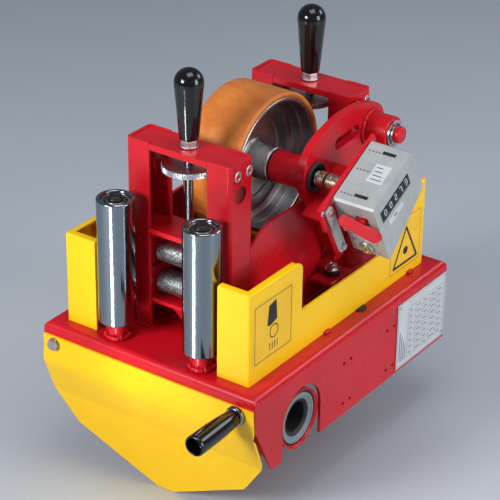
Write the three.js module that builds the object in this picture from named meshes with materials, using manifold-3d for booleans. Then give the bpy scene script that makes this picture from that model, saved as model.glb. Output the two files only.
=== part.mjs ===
// Wire rope feeding and length measuring unit.
// Millimetres. +X is to the right of someone facing the rope entry, +Y is the way the rope
// travels, +Z is up. The origin is the centre of the guide sleeve that carries the unit.
import * as THREE from 'three';
import { mergeVertices } from 'three/addons/utils/BufferGeometryUtils.js';
import Module from 'manifold-3d';

const wasm = await Module();
wasm.setup();

// ---- driving dimensions -------------------------------------------------------------------
const GAP = 0.3;              // clearance between neighbouring pieces
const SHEET = 4;              // structural sheet thickness
const THIN = 3;               // guard sheet thickness

const BASE_W = 300;           // folded base: width, front and rear ends, height
const BASE_FRONT = -202;
const BASE_REAR = 205;
const BASE_H = 107;
const BASE_BEND = 9;          // outside radius of the folds

const SIDE_HOLE_Y = [-24, -9, 70, 85];   // paired bracket holes in both side plates
const SIDE_HOLE_Z = [15, 69];
const SIDE_HOLE_R = 2.4;
const CLEARANCE_R = 4.4;      // drilled hole and shank radius of the M8 bolts
const SHANK_R = 3.9;
const GUARD_BOLT_AT = [-132.3, 83];   // x and z of the guard's bolt and of its hand grip
const HANDLE_AT = [126.7, 82];

const SLEEVE_Y = -110;        // cross tube that the unit slides on
const SLEEVE_Z = 37;
const SLEEVE_R = 37;
const SLEEVE_BORE_R = 33.3;
const BUSH_BORE_R = 20;
const BUSH_INNER_X = 90;      // inner end of each bush

const PORTAL_Y = [-121, 117]; // centres of the front and rear portals
const PORTAL_HALF = 71.5;     // half width over the posts
const PORTAL_DEPTH = 42.6;
const PORTAL_TOP = 340.6;
const POST_FLANGE = 31.8;
const CROSS_HOLE_R = 10.4;    // cross hole in each post, 2 mm ahead of its middle
const CROSS_HOLE_Z = 301.7;
const CROSS_HOLE_SHIFT = -2;

const TOP_PLATE_Z0 = 332;     // flat plate between the post tops
const TOP_PLATE_Z1 = 339.4;
const SCREW_R = 5;            // spindle, and the clear hole round it
const SCREW_HOLE_R = 5.3;

const ROLLER_R = 13.3;        // horizontal guide rollers
const ROLLER_HALF = 38.4;
const UPPER_Z = 201;
const LOWER_Z = 162;
const AXLE_R = 5.8;
const ROPE_LINE_Z = LOWER_Z + ROLLER_R;
const SUPPORT_Y = 55;         // support rollers between the portals
const SUPPORT_R = 20;
const SUPPORT_HALF = 60;
const SUPPORT_Z = ROPE_LINE_Z - SUPPORT_R;
const CHEEK_TOP = 243;        // side cheeks that carry them
const WHEEL_R = 31;           // knurled wheel of each spindle, and the depth of its knurl
const WHEEL_TOOTH = 0.8;

const ENTRY_X = 59.5;         // upright entry rollers
const ENTRY_Y = -177.6;
const ENTRY_R = 22;
const ENTRY_Z0 = 128;
const ENTRY_Z1 = 282.4;

const GUARD_X = 128.4;        // side guards
const GUARD_FRONT = -184.7;
const GUARD_REAR = 181;
const GUARD_TOP = 221;
const GUARD_LOW = 159;
const GUARD_SHOULDER = 83;    // half length of the low middle stretch
const GUARD_RETURN = 43;      // width of the front return
const GUARD_LIP = 9;          // inward lip along the high edges

const DRUM_Y = -2;            // measuring drum
const DRUM_Z = 281.6;
const DRUM_R = 86;
const DRUM_HALF = 36;
const TYRE = 6.5;
const RIM = 4.5;
const HUB_R = 21;
const SHAFT_R = 8.5;
const TUBE_R = 19;            // bearing tube of the swing arm
const TUBE_X0 = 35;

const ARM_X0 = 78;            // swing arm plate
const ARM_X1 = 88;
const PIVOT_Y = PORTAL_Y[1] + CROSS_HOLE_SHIFT;
const PIVOT_Z = CROSS_HOLE_Z;
const PIVOT_R = 10;
const PIVOT_HUB_R = 19.5;
const PIVOT_HUB_X1 = 119;
const HAND_SLOT = [[46, 305.5], [82, 308]];   // y and z of the ends of the arm's hand slot
const HAND_SLOT_R = 7.4;
const STOP_X = 88;            // rubber stop under the arm, and the top of its shelf
const STOP_Y = 40;
const STOP_Z = 140;

const COUNTER_TILT = 28;      // degrees that the counter leans back about the drum axis
const LEVER_SLANT = 10;       // degrees that the reset lever slopes down to the right
const COUNTER_X0 = 135;
const COUNTER_X1 = 188;
const APRON_Z = -70;          // low edge of the counter's apron, with a tapered cheek at its right end
const CHEEK_X0 = 185.2;

const FINE = 36;              // sides of large round pieces
const ROUND = 20;             // sides of ordinary round pieces
const SMALL = 10;             // sides of small round pieces

// ---- geometry helpers ---------------------------------------------------------------------
const WORLD_X = new THREE.Vector3(1, 0, 0);
const WORLD_Y = new THREE.Vector3(0, 1, 0);
const WORLD_Z = new THREE.Vector3(0, 0, 1);

function solid(geometry) {
  const plain = geometry.clone();
  plain.deleteAttribute('normal');
  plain.deleteAttribute('uv');
  const merged = mergeVertices(plain, 1e-4);
  return new wasm.Manifold(new wasm.Mesh({
    numProp: 3,
    vertProperties: new Float32Array(merged.attributes.position.array),
    triVerts: new Uint32Array(merged.index.array),
  }));
}

function geometryOf(body) {
  const mesh = body.getMesh();
  const geometry = new THREE.BufferGeometry();
  geometry.setAttribute('position', new THREE.BufferAttribute(new Float32Array(mesh.vertProperties), 3));
  geometry.setIndex(new THREE.BufferAttribute(new Uint32Array(mesh.triVerts), 1));
  geometry.computeVertexNormals();
  return geometry;
}

function join(...bodies) {
  return bodies.reduce((sum, body) => sum.add(body));
}

function cut(body, ...tools) {
  return tools.reduce((left, tool) => left.subtract(tool), body);
}

// A block between two corners.
function block(x0, x1, y0, y1, z0, z1) {
  const geometry = new THREE.BoxGeometry(x1 - x0, y1 - y0, z1 - z0);
  return solid(geometry.translate((x0 + x1) / 2, (y0 + y1) / 2, (z0 + z1) / 2));
}

function outline(points) {
  return new THREE.Shape(points.map(([a, b]) => new THREE.Vector2(a, b)));
}

// Extrusions of a flat outline along each axis: (y, z) along X, (x, z) along Y, (x, y) along Z.
function extruded(shape, depth, basis, shift) {
  const geometry = new THREE.ExtrudeGeometry(shape, { depth, bevelEnabled: false, curveSegments: 5 });
  return solid(geometry.applyMatrix4(basis).translate(shift.x, shift.y, shift.z));
}

function alongX(shape, x0, x1) {
  const basis = new THREE.Matrix4().makeBasis(WORLD_Y, WORLD_Z, WORLD_X);
  return extruded(shape, x1 - x0, basis, new THREE.Vector3(x0, 0, 0));
}

function alongY(shape, y0, y1) {
  const basis = new THREE.Matrix4().makeBasis(WORLD_X, WORLD_Z, WORLD_Y.clone().negate());
  return extruded(shape, y1 - y0, basis, new THREE.Vector3(0, y1, 0));
}

function alongZ(shape, z0, z1) {
  return extruded(shape, z1 - z0, new THREE.Matrix4(), new THREE.Vector3(0, 0, z0));
}

// A turned piece: the profile lists radius and height pairs, on the axis at both ends or closed.
function turned(profile, sides = ROUND) {
  const area = profile.reduce((sum, [r, h], i) => {
    const [nr, nh] = profile[(i + 1) % profile.length];
    return sum + r * nh - nr * h;
  }, 0);
  const ordered = area > 0 ? profile : [...profile].reverse();
  const onAxis = ordered[0][0] === 0;
  const points = (onAxis ? ordered : [...ordered, ordered[0]]).map(([r, h]) => new THREE.Vector2(r, h));
  return new THREE.LatheGeometry(points, sides);
}

function turnedZ(profile, x, y, sides) {
  return solid(turned(profile, sides).rotateX(Math.PI / 2).translate(x, y, 0));
}

function turnedX(profile, y, z, sides) {
  return solid(turned(profile, sides).rotateZ(-Math.PI / 2).translate(0, y, z));
}

function turnedY(profile, x, z, sides) {
  return solid(turned(profile, sides).translate(x, 0, z));
}

function rod(r, h0, h1) {
  return [[0, h0], [r, h0], [r, h1], [0, h1]];
}

function ring(outer, inner, h0, h1) {
  return [[inner, h0], [outer, h0], [outer, h1], [inner, h1]];
}

// Hexagon of a nut or bolt head, from its width across the flats.
function hexagon(flats, a = 0, b = 0) {
  const corner = flats / Math.sqrt(3);
  return outline([...Array(6).keys()].map((i) => [
    a + corner * Math.cos(i * Math.PI / 3),
    b + corner * Math.sin(i * Math.PI / 3),
  ]));
}

// ---- scene graph --------------------------------------------------------------------------
const unit = new THREE.Group();
unit.position.set(0, -SLEEVE_Y, -SLEEVE_Z);

const FINISH = {
  red: [0xd4162a, 0.38, 0.1],
  yellow: [0xf7c800, 0.42, 0.05],
  chrome: [0xd9dee2, 0.12, 1],
  steel: [0xa9adb0, 0.35, 1],
  ground: [0x8f9496, 0.5, 1],
  black: [0x101012, 0.2, 0],
  rubber: [0x16161a, 0.8, 0],
  tyre: [0xcc6f22, 0.5, 0],
  aluminium: [0xb4b6b8, 0.4, 1],
  grey: [0x8d9296, 0.6, 0],
  brass: [0xb6a06a, 0.3, 1],
  case: [0xa8adb0, 0.45, 0.6],
  white: [0xd8dada, 0.5, 0.2],
};

function place(name, body, finish, parent = unit) {
  const [color, roughness, metalness] = FINISH[finish];
  const material = new THREE.MeshStandardMaterial({ color, roughness, metalness });
  const mesh = new THREE.Mesh(geometryOf(body), material);
  mesh.name = name;
  parent.add(mesh);
}

// ---- base ---------------------------------------------------------------------------------
// Rounded-top rectangle used for both elevations of the folded base.
function foldedElevation(low, high, radius, bottom, top) {
  const shape = new THREE.Shape();
  shape.moveTo(low, bottom);
  shape.lineTo(high, bottom);
  shape.lineTo(high, top - radius);
  shape.absarc(high - radius, top - radius, radius, 0, Math.PI / 2, false);
  shape.lineTo(low + radius, top);
  shape.absarc(low + radius, top - radius, radius, Math.PI / 2, Math.PI, false);
  return shape;
}

function baseBlank(inset, bottom) {
  const half = BASE_W / 2 - inset;
  const front = BASE_FRONT + inset;
  const rear = BASE_REAR - inset;
  const radius = BASE_BEND - inset;
  const top = BASE_H - inset;
  const across = alongY(foldedElevation(-half, half, radius, bottom, top), front - 1, rear + 1);
  const side = foldedElevation(front, rear, radius, bottom, top);
  return across.intersect(alongX(side, -half - 1, half + 1));
}

function baseHousing() {
  const chamfer = outline([
    [BASE_FRONT - 5, 65], [BASE_FRONT, 65], [-168, 0], [-168, -20], [BASE_FRONT - 5, -20],
  ]);
  const chamferInner = outline([[-230, 65], [BASE_FRONT + SHEET, 65], [-164, 0], [-164, -20], [-230, -20]]);
  const half = BASE_W / 2;
  const inner = cut(baseBlank(SHEET, -20), alongX(chamferInner, -half - 1, half + 1));
  const shell = cut(baseBlank(0, 0), alongX(chamfer, -half - 1, half + 1), inner);
  const frontOpening = block(-half + SHEET, half - SHEET, BASE_FRONT - 5, -150, -1, 22);
  const rearOpening = block(-half + SHEET, half - SHEET, BASE_REAR - 20, BASE_REAR + 5, -1, 57);
  const arch = new THREE.Shape();
  const archR = SLEEVE_R + 1.2;
  arch.moveTo(SLEEVE_Y - archR, -5);
  arch.lineTo(SLEEVE_Y + archR, -5);
  arch.lineTo(SLEEVE_Y + archR, SLEEVE_Z + 5);
  arch.absarc(SLEEVE_Y, SLEEVE_Z + 5, archR, 0, Math.PI, false);
  let body = cut(shell, frontOpening, rearOpening, alongX(arch, -half - 1, half + 1));
  for (const y of SIDE_HOLE_Y) {
    for (const z of SIDE_HOLE_Z) {
      body = body.subtract(turnedX(rod(SIDE_HOLE_R, -half - 1, half + 1), y, z, 8));
    }
  }
  for (const [x, z] of [GUARD_BOLT_AT, HANDLE_AT]) {
    body = body.subtract(turnedY(rod(CLEARANCE_R, BASE_FRONT - 1, BASE_FRONT + SHEET + 1), x, z, SMALL));
  }
  const hanger = cut(
    block(-60, 60, SLEEVE_Y - 3, SLEEVE_Y + 3, SLEEVE_Z + 20, BASE_H - 1),
    turnedX(rod(SLEEVE_R + GAP, -70, 70), SLEEVE_Y, SLEEVE_Z, FINE),
  );
  return join(body, hanger);
}

function sleeveParts() {
  const half = BASE_W / 2 - 3;
  place('guide_sleeve', turnedX(ring(SLEEVE_R, SLEEVE_BORE_R, -half, half), SLEEVE_Y, SLEEVE_Z, FINE), 'red');
  for (const [name, side] of [['left', -1], ['right', 1]]) {
    const profile = [
      [BUSH_BORE_R, BUSH_INNER_X], [SLEEVE_BORE_R - GAP, BUSH_INNER_X], [SLEEVE_BORE_R - GAP, half - 3],
      [SLEEVE_BORE_R - 4, half - 1], [BUSH_BORE_R + 3, half - 3], [BUSH_BORE_R, half - 7],
    ];
    const mirrored = profile.map(([r, h]) => [r, side * h]);
    place(`${name}_guide_bush`, turnedX(mirrored, SLEEVE_Y, SLEEVE_Z, FINE), 'grey');
  }
}

function baseFittings() {
  const plate = block(BASE_W / 2 + GAP, BASE_W / 2 + GAP + 1.2, 91, 203, 4, 93);
  place('rating_plate', plate, 'white');
  const shelf = alongY(outline([
    [76, BASE_H + GAP], [112, BASE_H + GAP], [112, BASE_H + 4.3], [104, BASE_H + 4.3],
    [104, STOP_Z], [72.5, STOP_Z], [72.5, STOP_Z - SHEET], [100, STOP_Z - SHEET],
    [100, BASE_H + 4.3], [76, BASE_H + 4.3],
  ]), 16, 62);
  place('stop_bracket', shelf, 'red');
  const buffer = [[0, GAP], [9, GAP], [10, 2], [10, 11], [8, 13.4], [0, 13.4]]
    .map(([r, h]) => [r, STOP_Z + h]);
  place('stop_buffer', turnedZ(buffer, STOP_X, STOP_Y, SMALL), 'rubber');
}

// ---- front guard --------------------------------------------------------------------------
function frontGuard() {
  const path = [[BASE_FRONT - GAP, 92], [BASE_FRONT - GAP, 57], [-184.5, 10], [-166.5, -84]];
  const outer = path.map(([y, z], i) => [y - THIN, z - (i > 0 ? 0.6 : 0)]);
  const section = alongX(outline([...path, ...outer.reverse()]), -150, 150);
  const front = alongY(outline([
    [-148, 93], [148, 93], [149.5, 57], [149.5, 10], [120, -32], [12, -84.7],
    [-12, -84.7], [-120, -32], [-149.5, 10], [-149.5, 57],
  ]), -230, -150);
  const drills = [GUARD_BOLT_AT, HANDLE_AT]
    .map(([x, z]) => turnedY(rod(CLEARANCE_R, -230, -150), x, z, SMALL));
  return cut(section.intersect(front), ...drills);
}

function frontHandle() {
  const face = BASE_FRONT - GAP - THIN - GAP;
  const inside = BASE_FRONT + SHEET + 8;
  const [x, z] = HANDLE_AT;
  const spindle = turnedY([[0, inside], [SHANK_R, inside], [SHANK_R, face], [12, face], [12, face - 4],
    [10.5, face - 5.5], [5, face - 5.5], [5, face - 58], [0, face - 58]], x, z, ROUND);
  place('handle_stud', spindle, 'chrome');
  const base = face - 6;
  const grip = turnedY([
    [5.4, base], [9.5, base], [11.8, base - 22], [12.6, base - 42], [12.6, base - 70], [12, base - 72],
    [10, base - 72], [9.6, base - 56], [5.4, base - 56],
  ], x, z, ROUND);
  place('guard_hand_grip', grip, 'black');
  const bolt = join(
    alongY(hexagon(13, ...GUARD_BOLT_AT), face - 5.5, face),
    turnedY(rod(SHANK_R, face - 1, inside), ...GUARD_BOLT_AT, SMALL),
  );
  place('guard_bolt', bolt, 'steel');
}

// ---- side guards --------------------------------------------------------------------------
function guardElevation(z0, trim) {
  const corner = 9;
  const shape = new THREE.Shape();
  shape.moveTo(GUARD_FRONT, z0);
  shape.lineTo(GUARD_REAR, z0);
  shape.lineTo(GUARD_REAR, GUARD_TOP - trim);
  shape.lineTo(GUARD_SHOULDER + corner, GUARD_TOP - trim);
  shape.absarc(GUARD_SHOULDER + corner, GUARD_TOP - trim - corner, corner, Math.PI / 2, Math.PI, false);
  shape.lineTo(GUARD_SHOULDER, GUARD_LOW);
  shape.lineTo(-GUARD_SHOULDER, GUARD_LOW);
  shape.lineTo(-GUARD_SHOULDER, GUARD_TOP - trim - corner);
  shape.absarc(-GUARD_SHOULDER - corner, GUARD_TOP - trim - corner, corner, 0, Math.PI / 2, false);
  shape.lineTo(GUARD_FRONT, GUARD_TOP - trim);
  return shape;
}

function sideGuard(side) {
  const z0 = BASE_H + GAP;
  const inner = GUARD_X - THIN;
  const wall = alongX(guardElevation(z0, 0), inner, GUARD_X);
  const front = block(GUARD_X - GUARD_RETURN, GUARD_X, GUARD_FRONT, GUARD_FRONT + THIN, z0, GUARD_TOP);
  const rear = block(GUARD_X - 20, GUARD_X, GUARD_REAR - THIN, GUARD_REAR, z0, GUARD_TOP);
  const lipZ = GUARD_TOP - THIN;
  const end = GUARD_SHOULDER + 9;
  const frontLip = block(GUARD_X - GUARD_LIP, GUARD_X, GUARD_FRONT, -end, lipZ, GUARD_TOP);
  const acrossLip = block(
    GUARD_X - GUARD_RETURN, GUARD_X, GUARD_FRONT, GUARD_FRONT + GUARD_LIP, lipZ, GUARD_TOP,
  );
  const rearLip = block(GUARD_X - GUARD_LIP, GUARD_X, end, GUARD_REAR, lipZ, GUARD_TOP);
  const body = join(wall, front, rear, frontLip, acrossLip, rearLip);
  return side > 0 ? body : body.mirror([1, 0, 0]);
}

// ---- upright entry rollers ----------------------------------------------------------------
function entryRoller(name, x) {
  const wall = 5;
  const seat = ENTRY_Z1 - 14;
  const shell = turnedZ([
    [ENTRY_R - wall, ENTRY_Z0 + 1], [ENTRY_R - 1, ENTRY_Z0], [ENTRY_R, ENTRY_Z0 + 1.2],
    [ENTRY_R, ENTRY_Z1 - 1.2], [ENTRY_R - 1, ENTRY_Z1], [ENTRY_R - wall, ENTRY_Z1 - 1],
  ], x, ENTRY_Y, FINE);
  place(`${name}_entry_roller`, shell, 'chrome');
  const bearing = turnedZ(ring(ENTRY_R - wall - GAP, 8.2, seat, ENTRY_Z1 - 3), x, ENTRY_Y, ROUND);
  place(`${name}_entry_bearing`, bearing, 'black');
  const stud = turnedZ([
    [0, BASE_H + GAP], [17, BASE_H + GAP], [14, BASE_H + 6], [11, BASE_H + 10], [10.5, ENTRY_Z0 - 1],
    [7.8, ENTRY_Z0], [7.8, ENTRY_Z1 - 2.7], [9.6, ENTRY_Z1 - 2.7], [9.6, ENTRY_Z1 + 1.6],
    [7.6, ENTRY_Z1 + 3.2], [0, ENTRY_Z1 + 3.2],
  ], x, ENTRY_Y, ROUND);
  place(`${name}_entry_stud`, stud, 'red');
}

// ---- portals ------------------------------------------------------------------------------
function post(y, side) {
  const r = 5;
  const y0 = y - PORTAL_DEPTH / 2;
  const y1 = y + PORTAL_DEPTH / 2;
  const x1 = PORTAL_HALF;
  const x0 = PORTAL_HALF - POST_FLANGE;
  const shape = new THREE.Shape();
  shape.moveTo(x0, y0);
  shape.lineTo(x1 - r, y0);
  shape.absarc(x1 - r, y0 + r, r, -Math.PI / 2, 0, false);
  shape.lineTo(x1, y1 - r);
  shape.absarc(x1 - r, y1 - r, r, 0, Math.PI / 2, false);
  shape.lineTo(x0, y1);
  shape.lineTo(x0, y1 - SHEET);
  shape.lineTo(x1 - SHEET, y1 - SHEET);
  shape.lineTo(x1 - SHEET, y0 + SHEET);
  shape.lineTo(x0, y0 + SHEET);
  const bar = alongZ(shape, BASE_H + GAP, PORTAL_TOP);
  const hole = turnedX(rod(CROSS_HOLE_R, x1 - 8, x1 + 1), y + CROSS_HOLE_SHIFT, CROSS_HOLE_Z, ROUND);
  const body = cut(bar, hole);
  return side > 0 ? body : body.mirror([1, 0, 0]);
}

function topPlate(y) {
  const reach = PORTAL_HALF - SHEET - GAP;
  const inside = PORTAL_HALF - POST_FLANGE - GAP;
  const depth = PORTAL_DEPTH / 2;
  const narrow = depth - SHEET - GAP;
  const plate = join(
    block(-reach, reach, y - narrow, y + narrow, TOP_PLATE_Z0, TOP_PLATE_Z1),
    block(-inside, inside, y - depth, y + depth, TOP_PLATE_Z0, TOP_PLATE_Z1),
  );
  return cut(plate, turnedZ(rod(5.6, TOP_PLATE_Z0 - 1, TOP_PLATE_Z1 + 1), 0, y, ROUND));
}

// End blocks that sit in the post channels, and the axle between them.
function rollerBlocks(y, axisZ, z0, z1) {
  const x0 = PORTAL_HALF - POST_FLANGE + 1.5;
  const x1 = PORTAL_HALF - SHEET - 0.5;
  const half = PORTAL_DEPTH / 2 - SHEET - 0.5;
  return join(
    block(x0, x1, y - half, y + half, z0, z1),
    block(-x1, -x0, y - half, y + half, z0, z1),
    turnedX(rod(AXLE_R, -x0 - 1, x0 + 1), y, axisZ, ROUND),
  );
}

function carriage(y) {
  const blocks = rollerBlocks(y, UPPER_Z, 188, 235);
  const inside = PORTAL_HALF - POST_FLANGE - 0.6;
  const depth = PORTAL_DEPTH / 2;
  const half = depth - SHEET - 0.5;
  const wide = block(-inside - 4, inside + 4, y - half, y + half, 229, 235);
  const plate = block(-inside, inside, y - depth, y + depth, 229, 235);
  const boss = turnedZ(rod(9, 234, 240), 0, y, ROUND);
  return cut(join(blocks, wide, plate, boss), turnedZ(rod(SCREW_HOLE_R, 227, 241), 0, y, ROUND));
}

function bearer(y) {
  const blocks = rollerBlocks(y, LOWER_Z, 139, 182);
  const inside = PORTAL_HALF - POST_FLANGE - GAP;
  const half = PORTAL_DEPTH / 2 - SHEET - 0.5;
  const bar = block(-inside - 4, inside + 4, y - half, y + half, 139, 144);
  const web = alongY(
    outline([[-34, 139.5], [38, 139.5], [38, BASE_H + GAP], [6, BASE_H + GAP]]), y - 3, y + 3,
  );
  return join(blocks, bar, web);
}

function horizontalRoller(y, z) {
  const edge = 1;
  const profile = [
    [AXLE_R + 0.5, -ROLLER_HALF], [ROLLER_R - edge, -ROLLER_HALF], [ROLLER_R, -ROLLER_HALF + edge],
    [ROLLER_R, ROLLER_HALF - edge], [ROLLER_R - edge, ROLLER_HALF], [AXLE_R + 0.5, ROLLER_HALF],
  ];
  return turnedX(profile, y, z, ROUND);
}

function knurledWheel(y) {
  const teeth = 24;
  const rim = outline([...Array(2 * teeth).keys()].map((i) => {
    const r = i % 2 ? WHEEL_R : WHEEL_R - WHEEL_TOOTH;
    const a = i * Math.PI / teeth;
    return [r * Math.cos(a), y + r * Math.sin(a)];
  }));
  const hub = turnedZ(rod(13, 305, 314), 0, y, ROUND);
  return cut(join(alongZ(rim, 313, 319.7), hub), turnedZ(rod(SCREW_HOLE_R, 300, 325), 0, y, ROUND));
}

function handGrip(y) {
  const z0 = 349;
  const dome = [80, 65, 50, 35, 20, 5].map((deg) => {
    const a = deg * Math.PI / 180;
    return [16.5 * Math.cos(a), 416 + 16.6 * Math.sin(a)];
  }).reverse();
  return turnedZ([
    [0, z0 + 8], [5.4, z0 + 8], [5.4, z0], [10.4, z0], [11.2, z0 + 2], [13.2, z0 + 25], [15.2, z0 + 48],
    [16.2, z0 + 60], [16.7, 413], [16.9, 415], ...dome, [0, 432.6],
  ], 0, y, ROUND);
}

function portal(end, y) {
  for (const [name, side] of [['left', -1], ['right', 1]]) {
    place(`${end}_${name}_post`, post(y, side), 'red');
  }
  place(`${end}_top_plate`, topPlate(y), 'red');
  place(`${end}_bearer`, bearer(y), 'red');
  place(`${end}_lower_roller`, horizontalRoller(y, LOWER_Z), 'ground');
  place(`${end}_carriage`, carriage(y), 'red');
  place(`${end}_upper_roller`, horizontalRoller(y, UPPER_Z), 'ground');
  place(`${end}_spindle`, turnedZ(rod(SCREW_R, 224, 356), 0, y, ROUND), 'chrome');
  place(`${end}_knurled_wheel`, knurledWheel(y), 'steel');
  const nut = cut(alongZ(hexagon(17, 0, y), 340.3, 348.6), turnedZ(rod(SCREW_HOLE_R, 339, 350), 0, y, ROUND));
  place(`${end}_grip_nut`, nut, 'steel');
  place(`${end}_hand_grip`, handGrip(y), 'black');
}

// ---- between the portals ------------------------------------------------------------------
function cheek(side) {
  const front = PORTAL_Y[0] + PORTAL_DEPTH / 2 + GAP;
  const rear = PORTAL_Y[1] - PORTAL_DEPTH / 2 - GAP;
  const shape = new THREE.Shape();
  shape.moveTo(front, BASE_H + GAP);
  shape.lineTo(rear, BASE_H + GAP);
  shape.lineTo(rear, 224);
  shape.quadraticCurveTo(rear - 22, CHEEK_TOP, rear - 46, CHEEK_TOP);
  shape.lineTo(front + 46, CHEEK_TOP);
  shape.quadraticCurveTo(front + 22, CHEEK_TOP, front, 224);
  return side > 0 ? alongX(shape, 65, 69) : alongX(shape, -69, -65);
}

function supportParts() {
  const axles = [-SUPPORT_Y, SUPPORT_Y].map((y) => turnedX(rod(8, -71, 71), y, SUPPORT_Z, ROUND));
  place('support_frame', join(cheek(-1), cheek(1), ...axles), 'red');
  for (const [name, y] of [['front', -SUPPORT_Y], ['rear', SUPPORT_Y]]) {
    const roller = [
      [8.5, -SUPPORT_HALF], [SUPPORT_R - 1, -SUPPORT_HALF], [SUPPORT_R, 1 - SUPPORT_HALF],
      [SUPPORT_R, SUPPORT_HALF - 1], [SUPPORT_R - 1, SUPPORT_HALF], [8.5, SUPPORT_HALF],
    ];
    place(`${name}_support_roller`, turnedX(roller, y, SUPPORT_Z, ROUND), 'steel');
  }
}

// ---- swing arm ----------------------------------------------------------------------------
function armOutline() {
  const shape = new THREE.Shape();
  shape.moveTo(-25, 288);
  shape.quadraticCurveTo(-24, 307, -8, 319);
  shape.quadraticCurveTo(17, 334, 52, 338);
  shape.lineTo(80, 338.7);
  shape.quadraticCurveTo(108, 337, 126, 329);
  shape.quadraticCurveTo(145, 319, 144, 300);
  shape.quadraticCurveTo(141, 276, 114, 268);
  shape.quadraticCurveTo(70, 256, 34, 222);
  shape.lineTo(22, 211);
  shape.lineTo(14, 214);
  shape.quadraticCurveTo(-3, 240, -14, 256);
  shape.quadraticCurveTo(-26, 271, -25, 288);
  return shape;
}

function armPlate() {
  const plate = alongX(armOutline(), ARM_X0, ARM_X1);
  const slot = new THREE.Shape();
  slot.absarc(HAND_SLOT[0][0], HAND_SLOT[0][1], HAND_SLOT_R, Math.PI / 2, 3 * Math.PI / 2, false);
  slot.absarc(HAND_SLOT[1][0], HAND_SLOT[1][1], HAND_SLOT_R, -Math.PI / 2, Math.PI / 2, false);
  const hub = turnedX(rod(PIVOT_HUB_R, PORTAL_HALF + 1, PIVOT_HUB_X1), PIVOT_Y, PIVOT_Z, ROUND);
  const lug = alongX(outline([
    [20, 213], [36, 224], [64, 160], [66, 160], [66, 154], [45, 154], [45, 160], [48, 160],
  ]), ARM_X0, ARM_X1);
  const tube = turnedX(rod(TUBE_R, TUBE_X0, ARM_X1 - 2), DRUM_Y, DRUM_Z, ROUND);
  const body = join(cut(plate, alongX(slot, ARM_X0 - 1, ARM_X1 + 1)), hub, lug, tube);
  return cut(
    body,
    turnedX(rod(PIVOT_R + 0.35, 60, 130), PIVOT_Y, PIVOT_Z, ROUND),
    turnedX(rod(15.3, TUBE_X0 - 1, ARM_X1 + 1), DRUM_Y, DRUM_Z, ROUND),
  );
}

function pivotShaft() {
  return turnedX([
    [0, 50], [14, 50], [14, 67.2], [PIVOT_R, 67.2], [PIVOT_R, 130], [PIVOT_R - 1, 131], [0, 131],
  ], PIVOT_Y, PIVOT_Z, ROUND);
}

function drumRim() {
  const outer = DRUM_R - TYRE - GAP;
  const inner = outer - RIM;
  const half = DRUM_HALF - 1;
  return turnedX([
    [SHAFT_R + GAP, -18], [HUB_R, -18], [HUB_R, -6], [inner, -6], [inner, -half], [outer, -half],
    [outer, half], [inner, half], [inner - 2, 14], [inner, 3], [HUB_R, 3], [HUB_R, TUBE_X0 - 0.8],
    [SHAFT_R + GAP, TUBE_X0 - 0.8],
  ], DRUM_Y, DRUM_Z, FINE);
}

function drumTyre() {
  const inner = DRUM_R - TYRE;
  const half = DRUM_HALF;
  return turnedX([
    [inner, -half + 1], [DRUM_R - 2.5, -half], [DRUM_R, -half + 2.5], [DRUM_R, half - 2.5],
    [DRUM_R - 2.5, half], [inner, half - 1],
  ], DRUM_Y, DRUM_Z, FINE);
}

function armParts() {
  place('swing_arm', armPlate(), 'red');
  place('pivot_shaft', pivotShaft(), 'red');
  const washer = [
    [PIVOT_R + 0.35, 119.3], [16.5, 119.3], [16.5, 122], [13, 122], [13, 124.3], [PIVOT_R + 0.35, 124.3],
  ];
  place('pivot_washer', turnedX(washer, PIVOT_Y, PIVOT_Z, ROUND), 'steel');
  for (const [name, x] of [['inner', 38], ['outer', 70]]) {
    const race = ring(15, SHAFT_R + GAP, x, x + 12);
    place(`${name}_drum_bearing`, turnedX(race, DRUM_Y, DRUM_Z, ROUND), 'steel');
  }
  const seal = [[12, 84], [15, 84], [15, 88.3], [18.6, 88.3], [18.6, 90.5], [17, 92], [12, 92]];
  place('shaft_seal', turnedX(seal, DRUM_Y, DRUM_Z, ROUND), 'rubber');
  place('drum_rim', drumRim(), 'aluminium');
  place('drum_tyre', drumTyre(), 'tyre');
  place('drum_shaft', turnedX(rod(SHAFT_R, -22, 94), DRUM_Y, DRUM_Z, ROUND), 'steel');
  const coupling = [[0, 94.3], [9.8, 94.3], [9.8, 104], [7.5, 104], [7.5, 107], [9.8, 107], [9.8, 120],
    [8.6, 121], [8.6, 127], [4, 127], [4, 134.4], [0, 134.4]];
  place('shaft_coupling', turnedX(coupling, DRUM_Y, DRUM_Z, ROUND), 'brass');
}

// Bail across the counter's front: a flat bar with rounded ends on a stem that enters the case.
function resetLever() {
  const bar = new THREE.Shape();
  bar.absarc(-21, 0, 7, Math.PI / 2, 3 * Math.PI / 2, false);
  bar.absarc(21, 0, 7, -Math.PI / 2, Math.PI / 2, false);
  const tilted = alongZ(bar, -3, 3).rotate([0, 0, -LEVER_SLANT]).rotate([45, 0, 0]).translate([171, -42, -8]);
  return join(tilted, block(163, 173, -42, -16, -11, -5));
}

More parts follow.
